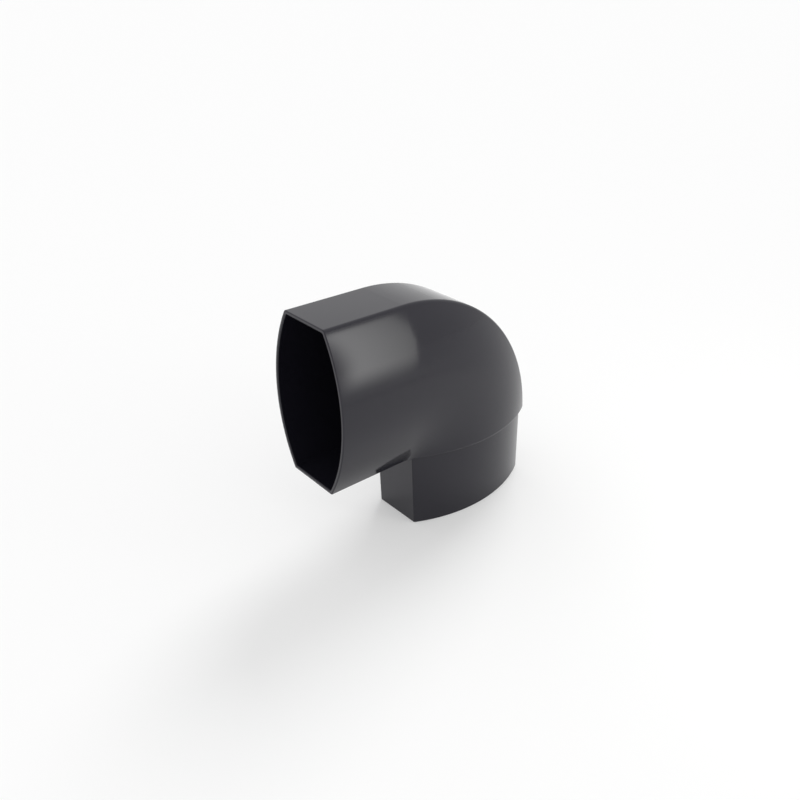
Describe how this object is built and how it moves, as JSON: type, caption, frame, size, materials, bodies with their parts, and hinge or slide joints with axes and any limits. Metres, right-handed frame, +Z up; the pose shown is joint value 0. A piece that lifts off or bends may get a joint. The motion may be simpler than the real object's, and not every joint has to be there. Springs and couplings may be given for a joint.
{
  "type": "downpipe bend",
  "caption": "Oval rainwater downpipe bend with a socket at one end and a plain spigot at the other, turning the pipe through nearly a right angle.",
  "frame": {"origin": "the middle of the spigot's open end, on its axis, where the part stands", "axes": "+Z up along the spigot's axis, the socket's mouth towards -X and 2.5 degrees up, Y across the narrow way, with the two sides of Y = 0 alike"},
  "size_m": [0.1507, 0.061, 0.1464],
  "materials": {
    "anthracite_plastic": "smooth glossy moulded plastic, through-coloured anthracite grey"
  },
  "bodies": {
    "root": {"bend_body": "anthracite_plastic"}
  },
  "joints": []
}
